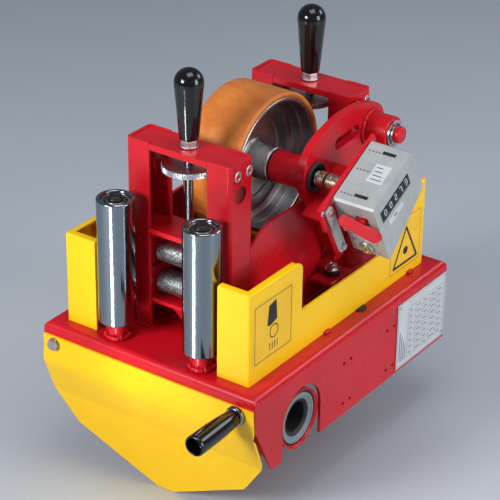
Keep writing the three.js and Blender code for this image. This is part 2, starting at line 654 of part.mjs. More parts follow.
// The counter leans back about the drum axis, so its pieces are made upright in a tilted group.
function counterParts() {
  const group = new THREE.Group();
  group.position.set(0, DRUM_Y, DRUM_Z);
  group.rotation.x = THREE.MathUtils.degToRad(COUNTER_TILT);
  unit.add(group);
  const x0 = ARM_X1 + 0.4;
  const plate = alongX(outline([[-56, 22], [66, 19], [66, 8], [40, -20], [-40, -20], [-58, -12]]), 130, 134);
  const web = block(x0, 134, -40, 40, -24, -20);
  const foot = block(x0, x0 + 4, -30, 8, -24, -21);
  const bracket = cut(
    join(plate, web, foot),
    turnedX(rod(12, 125, 140), 0, 0, ROUND),
  );
  place('counter_bracket', bracket, 'red', group);
  const edge = 2.5;
  const section = outline([
    [-31, -42.5 + edge], [-31 + edge, -42.5], [59 - edge, -42.5], [59, -42.5 + edge], [59, 17.5 - edge],
    [59 - edge, 17.5], [-31 + edge, 17.5], [-31, 17.5 - edge],
  ]);
  const socket = turnedX(rod(6, COUNTER_X0 - 1, COUNTER_X0 + 10), 0, 0, SMALL);
  const recess = block(COUNTER_X1 - 1.5, COUNTER_X1 + 1, -22, 40, -16, 2);
  const slot = block(160, 176, -32, -14, -24, -2);
  const apron = block(140, CHEEK_X0 + 1, -31, -28, APRON_Z, -41);
  const cheek = alongX(outline([
    [-31, APRON_Z], [-27.5, APRON_Z], [57, -44], [57, -41], [-31, -41],
  ]), CHEEK_X0, COUNTER_X1 - 0.1);
  const shell = join(alongX(section, COUNTER_X0, COUNTER_X1), apron, cheek);
  place('counter_case', cut(shell, socket, recess, slot), 'case', group);
  place('counter_window', block(COUNTER_X1 - 1.2, COUNTER_X1 - 0.2, -21.5, 39.5, -15.5, 1.5), 'black', group);
  place('reset_lever', resetLever(), 'red', group);
  const strap = join(
    block(134.6, 137.6, -50, -38, -58, 14),
    turnedX(rod(4.5, 137, 141), -44, 8, SMALL),
    turnedX(rod(4.5, 137, 141), -44, -52, SMALL),
  );
  place('counter_strap', strap, 'steel', group);
}

// ---- assembly -----------------------------------------------------------------------------
place('base_housing', baseHousing(), 'red');
sleeveParts();
baseFittings();
place('front_guard', frontGuard(), 'yellow');
frontHandle();
place('left_side_guard', sideGuard(-1), 'yellow');
place('right_side_guard', sideGuard(1), 'yellow');
entryRoller('left', -ENTRY_X);
entryRoller('right', ENTRY_X);
portal('front', PORTAL_Y[0]);
portal('rear', PORTAL_Y[1]);
supportParts();
armParts();
counterParts();

export default unit;
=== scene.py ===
# Looks of the wire rope feeding and measuring unit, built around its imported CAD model.
# Metres, in the CAD frame: +X right, +Y along the rope, +Z up, origin on the guide sleeve's axis.
import math

import bmesh
import bpy
from mathutils import Matrix, Vector
from mathutils.geometry import tessellate_polygon


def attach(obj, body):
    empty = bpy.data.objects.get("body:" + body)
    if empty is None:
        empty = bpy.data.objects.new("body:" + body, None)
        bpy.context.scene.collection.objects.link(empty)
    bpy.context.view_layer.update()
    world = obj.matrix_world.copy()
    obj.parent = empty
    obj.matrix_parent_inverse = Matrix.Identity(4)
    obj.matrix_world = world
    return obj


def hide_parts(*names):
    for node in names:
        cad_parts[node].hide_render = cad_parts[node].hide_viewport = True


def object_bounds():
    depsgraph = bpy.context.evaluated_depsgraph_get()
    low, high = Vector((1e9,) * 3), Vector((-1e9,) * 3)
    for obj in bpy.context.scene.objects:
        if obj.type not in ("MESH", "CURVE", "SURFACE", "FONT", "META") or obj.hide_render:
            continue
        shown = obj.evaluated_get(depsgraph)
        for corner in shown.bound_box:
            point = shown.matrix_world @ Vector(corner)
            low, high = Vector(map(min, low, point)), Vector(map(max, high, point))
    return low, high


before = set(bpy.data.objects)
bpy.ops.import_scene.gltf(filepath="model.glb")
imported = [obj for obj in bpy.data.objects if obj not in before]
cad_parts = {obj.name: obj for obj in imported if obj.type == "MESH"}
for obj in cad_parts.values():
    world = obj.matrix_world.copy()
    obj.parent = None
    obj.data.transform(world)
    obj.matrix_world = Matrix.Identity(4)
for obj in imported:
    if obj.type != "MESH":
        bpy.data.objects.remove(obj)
cad_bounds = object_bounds()

MM = 0.001
# Shapes below are in millimetres from the base's own datum, its foot at mid width.
SHIFT = Vector((0, 110, -37))  # from that datum to the origin
HALF_W = 150                   # half the base's width
SLEEVE = (0, -110, 37)         # on the guide sleeve's axis, along X
DRUM = (0, -2, 281.6)          # on the measuring drum's axis, along X
PIVOT = (0, 115, 301.7)        # on the swing arm's pivot, along X
ENTRY_Y = -177.6               # on the axes of the two upright entry rollers
STOP = (88, 40, 0)             # the arm's rubber stop, seen from above
PORTALS = (("front", -121), ("rear", 117))  # along the rope
SIDES = (("left", -1), ("right", 1))      # the sign of X
AXES = {
    "X": Matrix(((0, 0, 1), (1, 0, 0), (0, 1, 0))).to_4x4(),     # local Z lies along world X
    "Y": Matrix(((1, 0, 0), (0, 0, -1), (0, 1, 0))).to_4x4(),    # local Z lies along world -Y
    "Z": Matrix.Identity(4),
}


# ---- materials ----------------------------------------------------------------------------
class Nodes:
    """A short way to write a material's node tree."""

    def __init__(self, name):
        self.material = bpy.data.materials.new(name)
        self.material.use_nodes = True
        self.tree = self.material.node_tree
        self.shader = self.tree.nodes["Principled BSDF"]
        self.coords = self.tree.nodes.new("ShaderNodeTexCoord")

    def add(self, kind, **values):
        node = self.tree.nodes.new(kind)
        for key, value in values.items():
            if key.startswith("in_"):
                node.inputs[key[3:].replace("_", " ")].default_value = value
            else:
                setattr(node, key, value)
        return node

    def link(self, source, target):
        self.tree.links.new(source, target)

    def noise(self, scale, detail=3.0, rough=0.5, stretch=None):
        texture = self.add("ShaderNodeTexNoise", in_Scale=scale, in_Detail=detail, in_Roughness=rough)
        source = self.coords.outputs["Object"]
        if stretch:
            mapping = self.add("ShaderNodeMapping")
            mapping.inputs["Scale"].default_value = stretch
            self.link(source, mapping.inputs["Vector"])
            source = mapping.outputs["Vector"]
        self.link(source, texture.inputs["Vector"])
        return texture.outputs["Fac"]

    def spread(self, value, low, high, out_low=0.0, out_high=1.0):
        node = self.add("ShaderNodeMapRange")
        for key, number in (("From Min", low), ("From Max", high), ("To Min", out_low), ("To Max", out_high)):
            node.inputs[key].default_value = number
        self.link(value, node.inputs["Value"])
        return node.outputs["Result"]

    def mix(self, factor, first, second):
        node = self.add("ShaderNodeMix", data_type="RGBA")
        self.link(factor, node.inputs["Factor"])
        for socket, value in ((node.inputs[6], first), (node.inputs[7], second)):
            if isinstance(value, tuple):
                socket.default_value = (*value, 1.0)
            else:
                self.link(value, socket)
        return node.outputs[2]

    def times(self, a, b):
        node = self.add("ShaderNodeMath", operation="MULTIPLY")
        for socket, value in zip(node.inputs, (a, b)):
            if isinstance(value, (int, float)):
                socket.default_value = value
            else:
                self.link(value, socket)
        return node.outputs[0]

    def bump(self, height, strength, distance):
        node = self.add("ShaderNodeBump", in_Strength=strength, in_Distance=distance)
        self.link(height, node.inputs["Height"])
        self.link(node.outputs["Normal"], self.shader.inputs["Normal"])

    def edges(self, radius):
        """1 on worn convex edges, 0 elsewhere."""
        bevel = self.add("ShaderNodeBevel", samples=8)
        bevel.inputs["Radius"].default_value = radius
        geometry = self.add("ShaderNodeNewGeometry")
        dot = self.add("ShaderNodeVectorMath", operation="DOT_PRODUCT")
        self.link(bevel.outputs["Normal"], dot.inputs[0])
        self.link(geometry.outputs["Normal"], dot.inputs[1])
        return self.spread(dot.outputs["Value"], 0.97, 0.80)

    def set(self, **values):
        for key, value in values.items():
            socket = self.shader.inputs[key.replace("_", " ")]
            socket.default_value = (*value, 1.0) if isinstance(value, tuple) and len(value) == 3 else value
        return self


def painted(name, color, dark, light, roughness):
    """Gloss enamel: slight colour drift, orange peel, dull patches and pale worn edges."""
    n = Nodes(name).set(Metallic=0.0, Coat_Weight=0.14, Coat_Roughness=0.07, Specular_IOR_Level=0.28)
    drift = n.spread(n.noise(9.0, 4.0), 0.35, 0.7)
    body = n.mix(drift, color, dark)
    wear = n.times(n.edges(0.0012), n.spread(n.noise(60.0, 4.0, 0.7), 0.42, 0.75))
    n.link(n.mix(n.times(wear, 0.55), body, light), n.shader.inputs["Base Color"])
    smudge = n.spread(n.noise(26.0, 5.0, 0.65), 0.35, 0.75, roughness, roughness + 0.16)
    n.link(smudge, n.shader.inputs["Roughness"])
    n.bump(n.noise(150.0, 2.0), 0.05, 0.0005)
    return n.material


def chromed(name, color, roughness):
    """Hard chrome: mirror bright, with faint grinding lines round the piece and light dust."""
    n = Nodes(name).set(Base_Color=color, Metallic=1.0)
    lines = n.noise(55.0, 2.0, 0.5, (0.6, 0.6, 60.0))
    dust = n.noise(320.0, 3.0, 0.7)
    n.link(n.spread(n.times(lines, dust), 0.12, 0.45, roughness, roughness + 0.14),
           n.shader.inputs["Roughness"])
    n.bump(lines, 0.03, 0.0003)
    return n.material


def machined(name, color, dark, roughness, stretch, grain, metallic=1.0):
    """Turned or ground metal: streaks along the tool's path, stains and a sparkle of fine grain."""
    n = Nodes(name).set(Metallic=metallic)
    streak = n.noise(grain, 4.0, 0.6, stretch)
    stain = n.spread(n.noise(34.0, 4.0, 0.6), 0.4, 0.7)
    n.link(n.mix(n.times(stain, 0.75), color, dark), n.shader.inputs["Base Color"])
    n.link(n.spread(streak, 0.3, 0.7, roughness - 0.09, roughness + 0.12), n.shader.inputs["Roughness"])
    n.bump(streak, 0.12, 0.0005)
    return n.material


def pitted(name, color, dark, roughness):
    """Rolled steel that rope has worn: bright skin, with many small dark pits in it."""
    n = Nodes(name).set(Metallic=1.0)
    pits = n.spread(n.noise(560.0, 3.0, 0.65), 0.42, 0.60)
    n.link(n.mix(pits, color, dark), n.shader.inputs["Base Color"])
    n.link(n.spread(pits, 0.0, 1.0, roughness, roughness + 0.25), n.shader.inputs["Roughness"])
    n.bump(pits, 0.25, 0.0003)
    return n.material


def turned_round(name, color, dark, axis_y, axis_z):
    """Metal turned about an axis along X: fine concentric lines, and stains between them."""
    n = Nodes(name).set(Metallic=1.0)
    split = n.add("ShaderNodeSeparateXYZ")
    n.link(n.coords.outputs["Object"], split.inputs["Vector"])
    legs = []
    for output, middle in (("Y", axis_y), ("Z", axis_z)):
        leg = n.add("ShaderNodeMath", operation="SUBTRACT")
        n.link(split.outputs[output], leg.inputs[0])
        leg.inputs[1].default_value = middle
        legs.append(n.times(leg.outputs[0], leg.outputs[0]))
    total = n.add("ShaderNodeMath", operation="ADD")
    n.link(legs[0], total.inputs[0])
    n.link(legs[1], total.inputs[1])
    radius = n.add("ShaderNodeMath", operation="SQRT")
    n.link(total.outputs[0], radius.inputs[0])
    place = n.add("ShaderNodeCombineXYZ")
    n.link(radius.outputs[0], place.inputs["X"])
    n.link(split.outputs["X"], place.inputs["Y"])
    lines = n.add("ShaderNodeTexNoise", in_Scale=1400.0, in_Detail=3.0, in_Roughness=0.6)
    n.link(place.outputs["Vector"], lines.inputs["Vector"])
    stain = n.spread(n.noise(22.0, 4.0, 0.6), 0.38, 0.7)
    n.link(n.mix(stain, color, dark), n.shader.inputs["Base Color"])
    n.link(n.spread(lines.outputs["Fac"], 0.3, 0.7, 0.24, 0.44), n.shader.inputs["Roughness"])
    n.bump(lines.outputs["Fac"], 0.35, 0.0004)
    return n.material


def grainy(name, color, dark, roughness, grain, strength, metallic=0.0):
    """Cast, moulded or rubbed surface with an even fine grain."""
    n = Nodes(name).set(Metallic=metallic)
    patch = n.spread(n.noise(40.0, 4.0, 0.6), 0.35, 0.7)
    n.link(n.mix(patch, color, dark), n.shader.inputs["Base Color"])
    n.link(n.spread(n.noise(70.0, 3.0), 0.3, 0.7, roughness - 0.06, roughness + 0.08),
           n.shader.inputs["Roughness"])
    n.bump(n.noise(grain, 3.0, 0.6), strength, 0.0005)
    return n.material


def bakelite(name):
    """Glossy black phenolic: deep coat, hair scratches and a little dust."""
    n = Nodes(name).set(Base_Color=(0.004, 0.004, 0.005), Coat_Weight=0.25, Coat_Roughness=0.03,
                        Specular_IOR_Level=0.4)
    scratch = n.noise(60.0, 5.0, 0.7, (9.0, 9.0, 0.7))
    n.link(n.spread(scratch, 0.45, 0.75, 0.10, 0.26), n.shader.inputs["Roughness"])
    n.bump(n.noise(240.0, 2.0), 0.03, 0.0004)
    return n.material


RED = painted("red_enamel", (0.60, 0.005, 0.015), (0.46, 0.004, 0.011), (0.80, 0.14, 0.13), 0.25)
YELLOW = painted("yellow_enamel", (0.96, 0.57, 0.0), (0.89, 0.50, 0.0), (1.0, 0.76, 0.2), 0.34)
CHROME = chromed("hard_chrome", (0.25, 0.29, 0.32), 0.08)
GROUND = pitted("ground_steel", (0.50, 0.52, 0.52), (0.035, 0.04, 0.04), 0.32)
TURNED = turned_round("turned_aluminium", (0.56, 0.57, 0.58), (0.30, 0.31, 0.32),
                      (DRUM[1] + SHIFT.y) * MM, (DRUM[2] + SHIFT.z) * MM)
BRIGHT = machined("bright_steel", (0.62, 0.63, 0.64), (0.30, 0.31, 0.32), 0.30, (0.6, 0.6, 20.0), 60.0)
BRASS = machined("nickelled_brass", (0.66, 0.57, 0.43), (0.44, 0.37, 0.26), 0.28, (18.0, 0.6, 0.6), 60.0)
OILED = machined("oiled_steel", (0.035, 0.035, 0.036), (0.012, 0.012, 0.012), 0.32, (1.0, 1.0, 12.0), 80.0,
                 0.6)
CASE = grainy("cast_grey_case", (0.46, 0.48, 0.48), (0.38, 0.40, 0.40), 0.44, 900.0, 0.25, 0.3)
TYRE = grainy("orange_polyurethane", (0.64, 0.20, 0.030), (0.50, 0.13, 0.02), 0.44, 500.0, 0.10)
# black rubber, also used for the painted shade inside the bush bores
RUBBER_AND_SHADE = grainy("black_rubber_and_painted_shade", (0.012, 0.012, 0.012), (0.02, 0.02, 0.02), 0.62, 700.0, 0.3)
BUSH = grainy("grey_bush_plastic", (0.21, 0.25, 0.26), (0.15, 0.18, 0.19), 0.5, 500.0, 0.12)
GRIP = bakelite("black_bakelite")
# black print, also used for painted shade: the keyway and the two slots on the counter
INK_AND_SHADE = grainy("black_ink_and_painted_shade", (0.006, 0.006, 0.006), (0.012, 0.012, 0.012), 0.5, 600.0, 0.05)
FADED = grainy("grey_ink", (0.12, 0.13, 0.14), (0.2, 0.21, 0.22), 0.5, 600.0, 0.05)
PAPER = grainy("white_foil", (0.62, 0.64, 0.66), (0.54, 0.56, 0.58), 0.38, 500.0, 0.05, 0.1)
STICKER = grainy("yellow_foil", (0.90, 0.53, 0.01), (0.84, 0.48, 0.01), 0.42, 500.0, 0.04)


# ---- mesh helpers -------------------------------------------------------------------------
def piece(name, mesh, material, body, replaces=()):
    """Adds a finished mesh to the object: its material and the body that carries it."""
    mesh.name = name
    obj = bpy.data.objects.new(name, mesh)
    bpy.context.collection.objects.link(obj)
    mesh.materials.append(material)
    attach(obj, body)
    if replaces:
        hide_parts(*replaces)
    obj.modifiers.new("flat_faces", "WEIGHTED_NORMAL").keep_sharp = True
    return obj


def shade(mesh, angle):
    """Smooth faces, with every edge sharper than the angle kept crisp."""
    mesh.shade_smooth()
    bm = bmesh.new()
    bm.from_mesh(mesh)
    for edge in bm.edges:
        edge.smooth = len(edge.link_faces) == 2 and edge.calc_face_angle(0) < math.radians(angle)
    bm.to_mesh(mesh)
    bm.free()
    return mesh


def to_mesh(bm, angle):
    bmesh.ops.recalc_face_normals(bm, faces=bm.faces)
    mesh = bpy.data.meshes.new("mesh")
    bm.to_mesh(mesh)
    bm.free()
    return shade(mesh, angle)


def fillet(profile, radius, steps=3):
    """The profile with each corner but its two ends rounded by an arc of at most that radius."""
    points = [Vector(p) for p in profile]
    out = [points[0]]
    for before, corner, after in zip(points, points[1:], points[2:]):
        a, b = before - corner, after - corner
        reach = min(radius, a.length * 0.45, b.length * 0.45)
        if reach < 1e-6 or abs(a.normalized().dot(b.normalized())) > 0.995:
            out.append(corner)
            continue
        start, end = corner + a.normalized() * reach, corner + b.normalized() * reach
        for i in range(steps + 1):
            t = i / steps
            out.append(start * (1 - t) ** 2 + corner * 2 * t * (1 - t) + end * t ** 2)
    return out + [points[-1]]


def lathe(profile, axis, centre, sides, radius, closed=False):
    """A turned piece. The profile lists (radius, position along the axis); its corners are rounded."""
    path = [tuple(p) for p in profile]
    if closed:
        middle = tuple((Vector(path[0]) + Vector(path[-1])) / 2)
        path = [middle, *path, middle]
    rounded = fillet(path, radius)
    if closed:
        rounded = rounded[:-1]
    bm = bmesh.new()
    rings = []
    for r, h in rounded:
        if r < 1e-6:
            rings.append([bm.verts.new((0, 0, h * MM))] * sides)
            continue
        rings.append([
            bm.verts.new((r * math.cos(t) * MM, r * math.sin(t) * MM, h * MM))
            for t in (2 * math.pi * i / sides for i in range(sides))
        ])
    pairs = list(zip(rings, rings[1:]))
    if closed:
        pairs.append((rings[-1], rings[0]))
    for low, high in pairs:
        for i in range(sides):
            corners = [low[i], low[(i + 1) % sides], high[(i + 1) % sides], high[i]]
            unique = list(dict.fromkeys(corners))
            if len(unique) > 2:
                bm.faces.new(unique)
    spin_to(bm, axis, centre)
    return to_mesh(bm, 35)


def spin_to(bm, axis, centre):
    """Lays a piece made along local Z onto the axis through the centre."""
    turn = AXES[axis] if axis != "Y" else Matrix(((1, 0, 0), (0, 0, 1), (0, -1, 0))).to_4x4()
    bm.transform(Matrix.Translation((Vector(centre) + SHIFT) * MM) @ turn)


def slab(outline, low, high, axis, centre=(0, 0, 0), holes=(), *, bevel, segments=2):
    """A flat piece cut to an outline (millimetres) and extruded, with softened edges.
    The outline's plane is (y, z) for axis X, (x, z) for axis Y and (x, y) for axis Z."""
    bm = bmesh.new()
    loops = [[Vector((a, b, 0)) for a, b in loop] for loop in (outline, *holes)]
    flat = [v for loop in loops for v in loop]
    verts = [bm.verts.new(v) for v in flat]
    for tri in tessellate_polygon(loops):
        bm.faces.new([verts[i] for i in tri])
    bmesh.ops.dissolve_limit(bm, angle_limit=0.01, verts=bm.verts, edges=bm.edges)
    made = bmesh.ops.extrude_face_region(bm, geom=bm.faces[:])
    up = [v for v in made["geom"] if isinstance(v, bmesh.types.BMVert)]
    if axis == "Y":
        low, high = -high, -low
    for v in bm.verts:
        v.co.z = low
    for v in up:
        v.co.z = high
    bmesh.ops.recalc_face_normals(bm, faces=bm.faces)
    sharp = [e for e in bm.edges if len(e.link_faces) == 2 and e.calc_face_angle(0) > math.radians(28)]
    if bevel:
        bmesh.ops.bevel(bm, geom=sharp, offset=bevel, segments=segments, profile=0.6, affect="EDGES",
                        clamp_overlap=True)
    bm.transform(Matrix.Scale(MM, 4))
    bm.transform(Matrix.Translation((Vector(centre) + SHIFT) * MM) @ AXES[axis])
    return to_mesh(bm, 30)


def placed(mesh, centre, turn):
    """Turns a mesh built about the base's datum and carries it to the centre."""
    mesh.transform(Matrix.Translation((Vector(centre) + SHIFT) * MM) @ turn @ Matrix.Translation(-SHIFT * MM))
    return mesh


def merged(*meshes):
    """Several meshes as one piece."""
    bm = bmesh.new()
    for mesh in meshes:
        bm.from_mesh(mesh)
        bpy.data.meshes.remove(mesh)
    mesh = bpy.data.meshes.new("mesh")
    bm.to_mesh(mesh)
    bm.free()
    return shade(mesh, 32)


def arc(cx, cy, r, start, end, steps):
    """Points of an arc, in degrees."""
    return [
        (cx + r * math.cos(math.radians(start + (end - start) * i / steps)),
         cy + r * math.sin(math.radians(start + (end - start) * i / steps)))
        for i in range(steps + 1)
    ]


def box(a0, b0, a1, b1):
    """A rectangle's corners."""
    return [(a0, b0), (a1, b0), (a1, b1), (a0, b1)]


def circle(cx, cy, r, steps):
    return arc(cx, cy, r, 0, 360, steps)[:-1]


def hexagon(flats):
    return circle(0, 0, flats / math.sqrt(3), 6)


def skin(bm, rings):
    """Joins rings of vertices into a tube with closed ends."""
    for low, high in zip(rings, rings[1:]):
        for k in range(len(low)):
            after = (k + 1) % len(low)
            bm.faces.new([low[k], low[after], high[after], high[k]])
    bm.faces.new(rings[0][::-1])
    bm.faces.new(rings[-1])


def weld(path, radius, seed):
    """A rippled weld bead along a path of points in millimetres."""
    points = [(Vector(p) + SHIFT) * MM for p in path]
    bm = bmesh.new()
    rings, sides = [], 8
    dense = [points[0]]
    for a, b in zip(points, points[1:]):
        count = max(1, int((b - a).length / (0.45 * radius * MM)))
        dense += [a.lerp(b, (i + 1) / count) for i in range(count)]
    for i, p in enumerate(dense):
        ahead = dense[min(i + 1, len(dense) - 1)] - dense[max(i - 1, 0)]
        across = ahead.orthogonal().normalized()
        up = ahead.normalized().cross(across)
        ripple = 0.13 * math.sin((i + 1) * 2.1 + seed) + 0.07 * math.sin((i + 1) * 0.7 + seed * 3)
        swell = radius * MM * (1 + ripple)
        if i in (0, len(dense) - 1):
            swell *= 0.45
        rings.append([
            bm.verts.new(p + (across * math.cos(t) + up * math.sin(t)) * swell)
            for t in (2 * math.pi * k / sides for k in range(sides))
        ])
    skin(bm, rings)
    return to_mesh(bm, 60)


def refined(node, material, body, radius, folds=()):
    """A CAD node's own shape with softened edges. folds lists (test, radius) for bends of the sheet,
    where test takes the two ends of an edge in millimetres from the base's datum."""
    bm = bmesh.new()
    bm.from_mesh(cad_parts[node].data)
    bmesh.ops.remove_doubles(bm, verts=bm.verts, dist=2e-6)
    bmesh.ops.dissolve_limit(bm, angle_limit=math.radians(0.6), verts=bm.verts, edges=bm.edges)
    for test, bend in folds:
        chosen = [e for e in bm.edges if test(*[v.co / MM - SHIFT for v in e.verts])]
        bmesh.ops.bevel(bm, geom=chosen, offset=bend * MM, segments=5, profile=0.5, affect="EDGES",
                        clamp_overlap=False)
    sharp = [e for e in bm.edges if len(e.link_faces) == 2 and e.calc_face_angle(0) > math.radians(38)]
    bmesh.ops.bevel(bm, geom=sharp, offset=radius * MM, segments=2, profile=0.6, affect="EDGES",
                    clamp_overlap=True)
    return piece(node + "_body", to_mesh(bm, 34), material, body, [node])


def bead(name, path, radius, body, seed):
    return piece(name, weld(path, radius, seed), RED, body)


def ring_path(axis, centre, r, steps, start=0, end=360):
    """Points of a circle or arc about an axis, in millimetres."""
    points = arc(0, 0, r, start, end, steps)
    if axis == "X":
        return [(centre[0], centre[1] + a, centre[2] + b) for a, b in points]
    return [(centre[0] + a, centre[1] + b, centre[2]) for a, b in points]


# ---- camera, light and floor, in metres ---------------------------------------------------
def look():
    azimuth, elevation, roll = map(math.radians, (35.03, 27.643, 0.70))
    back = Vector((
        math.sin(azimuth) * math.cos(elevation), -math.cos(azimuth) * math.cos(elevation),
        math.sin(elevation)))
    right = Vector((math.cos(azimuth), math.sin(azimuth), 0))
    up = back.cross(right)
    side = math.cos(roll) * right + math.sin(roll) * up
    top = math.cos(roll) * up - math.sin(roll) * right
    data = bpy.data.cameras.new("camera")
    data.sensor_width, data.lens = 36, 149.51
    place = (1.24374, -1.66656, 1.25904)
    camera = bpy.data.objects.new("camera", data)
    camera.matrix_world = Matrix.Translation(place) @ Matrix((side, top, back)).transposed().to_4x4()
    bpy.context.collection.objects.link(camera)
    bpy.context.scene.camera = camera


def lamp(name, place, target, size, power, spread=180):
    data = bpy.data.lights.new(name, "AREA")
    data.spread = math.radians(spread)
    data.shape, data.size, data.size_y = "RECTANGLE", size[0], size[1]
    data.energy = power
    obj = bpy.data.objects.new(name, data)
    obj.location = place
    obj.rotation_euler = (Vector(target) - Vector(place)).to_track_quat("-Z", "Y").to_euler()
    obj.visible_camera = False
    bpy.context.collection.objects.link(obj)


def studio():
    lowest, gap, half_size = cad_bounds[0].z, 0.0005, 6
    bm = bmesh.new()
    bmesh.ops.create_grid(bm, x_segments=1, y_segments=1, size=half_size)
    bm.transform(Matrix.Translation((0, 0, lowest - gap)))
    mesh = bpy.data.meshes.new("floor")
    bm.to_mesh(mesh)
    bm.free()
    floor = bpy.data.objects.new("floor", mesh)
    bpy.context.collection.objects.link(floor)
    n = Nodes("pale_floor").set(Roughness=0.6)
    n.link(n.mix(n.noise(3.0), (0.44, 0.48, 0.53), (0.48, 0.52, 0.57)), n.shader.inputs["Base Color"])
    mesh.materials.append(n.material)
    middle = (0, 0.12, 0.08)
    lamp("key", (-0.55, -1.9, 1.05), middle, (0.7, 0.6), 43)
    lamp("top", (0.35, -0.1, 2.1), middle, (1.2, 1.0), 14)
    lamp("right", (2.1, 0.25, 0.75), middle, (0.8, 1.2), 24)
    lamp("rear", (1.3, 1.9, 1.5), middle, (1.2, 0.8), 13)
    lamp("strip", (0.0, -0.418, -0.018), (0.0, -0.0676, 0.168), (0.045, 0.19), 0.10, spread=50)
    world = bpy.data.worlds.new("studio")
    bpy.context.scene.world = world
    world.use_nodes = True
    world.node_tree.nodes["Background"].inputs["Color"].default_value = (0.52, 0.60, 0.72, 1)
    world.node_tree.nodes["Background"].inputs["Strength"].default_value = 0.30
    bpy.context.scene.view_settings.view_transform = "Standard"


look()
studio()


# ---- base ---------------------------------------------------------------------------------
def base():
    refined("base_housing", RED, "frame", 0.9)
    sleeve = lathe([(37, -147), (37, 147), (35.6, 147), (34.6, 145.4), (33.4, 145), (33.4, -145),
                    (34.6, -145.4), (35.6, -147)], "X", SLEEVE, 96, 0.5, closed=True)
    piece("guide_sleeve_tube", sleeve, RED, "frame", ["guide_sleeve"])
    for name, side in SIDES:
        bush = lathe([(20, 90 * side), (33, 90 * side), (33, 141.6 * side), (31.2, 142.0 * side),
                      (30.8, 144.8 * side), (30, 145.2 * side), (27.5, 145.2 * side), (26.6, 144.0 * side),
                      (23, 142.6 * side), (21.2, 141.0 * side), (20, 139 * side)], "X", SLEEVE, 96, 0.5,
                      closed=True)
        piece(f"{name}_bush", bush, BUSH, "frame", [f"{name}_guide_bush"])
        seal = lathe([(19.9, 139 * side), (21.1, 141.1 * side), (22.9, 142.8 * side), (22.2, 143.4 * side),
                      (20.6, 142.4 * side), (18.6, 139.6 * side)], "X", SLEEVE, 64, 0.4, closed=True)
        piece(f"{name}_bush_seal", seal, RUBBER_AND_SHADE, "frame")
        ring = lathe([(31.4, 142.1 * side), (33.1, 141.8 * side), (33.2, 143.6 * side), (32.3, 144.3 * side),
                      (31.1, 143.6 * side)], "X", SLEEVE, 96, 0.3, closed=True)
        piece(f"{name}_bush_ring", ring, RUBBER_AND_SHADE, "frame")
        # a thin black sleeve inside the bush's bore: painted shade, standing for the dark inside of the bore
        bore_shade = lathe([(19.96, 91 * side), (19.96, 140 * side), (19.4, 140 * side), (19.4, 91 * side)], "X",
                      SLEEVE, 64, 0.2, closed=True)
        piece(f"{name}_painted_bore_shade", bore_shade, RUBBER_AND_SHADE, "frame")
    bead("base_corner_weld_right", [(147.6, -199.5, 60), (147.8, -199.6, 96)], 1.9, "frame", 2)
    bead("base_corner_weld_left", [(-147.6, -199.5, 60), (-147.8, -199.6, 96)], 1.9, "frame", 3)
    bead("base_corner_drop", [(146.4, -198.4, 99.5), (147.0, -199.0, 103.0)], 3.6, "frame", 4)
    for name, side in SIDES:
        for i, y in enumerate((-31, 150)):
            path = [(side * 129.2, y - 6, 107.8), (side * 130.6, y - 1, 108.6), (side * 130.2, y + 2, 108.0),
                    (side * 129.2, y + 6, 107.8)]
            bead(f"{name}_guard_tack_{i}", path, 2.7, "frame", i + 5)
        plug = slab([(side * a, b) for a, b in arc(0, 0, 8.6, -90, 90, 18)][::side], 107.1, 108.4, "Z",
                    (side * 128.6, 39, 0), bevel=0.4)
        piece(f"{name}_drain_plug", plug, RUBBER_AND_SHADE, "frame")
    refined("stop_bracket", RED, "frame", 0.7)
    buffer = lathe([(0, 140.4), (9, 140.4), (9.9, 141.4), (9.9, 145.2), (9.2, 146.2), (0, 146.2)], "Z", STOP,
                   64, 0.5)
    piece("stop_buffer_rubber", buffer, RUBBER_AND_SHADE, "frame", ["stop_buffer"])
    washer = lathe(box(0, 146.2, 8.6, 147.6), "Z", STOP, 48, 0.3)
    head = slab(hexagon(12.4), 147.6, 152.0, "Z", STOP, bevel=0.8)
    boss = lathe([(0, 151.6), (4.6, 151.6), (4.4, 153.2), (2.4, 153.4), (2.0, 152.4), (0, 152.3)], "Z", STOP,
                 40, 0.2)
    piece("stop_buffer_screw", merged(washer, head, boss), BRIGHT, "frame")


def digit(kind, a, b, size):
    """Outlines of a plain seven-stroke numeral in a box of the given height."""
    w, h, t = size * 0.5, size, size * 0.13
    bars = {
        "a": (0, h - t, w, h), "g": (0, (h - t) / 2, w, (h + t) / 2), "d": (0, 0, w, t),
        "f": (0, h / 2, t, h), "e": (0, 0, t, h / 2), "b": (w - t, h / 2, w, h), "c": (w - t, 0, w, h / 2),
    }
    shapes = {"0": "abcdef", "2": "abged", "3": "abgcd", "7": "abc"}
    return [box(a + x0, b + y0, a + x1, b + y1) for x0, y0, x1, y1 in (bars[k] for k in shapes[kind])]


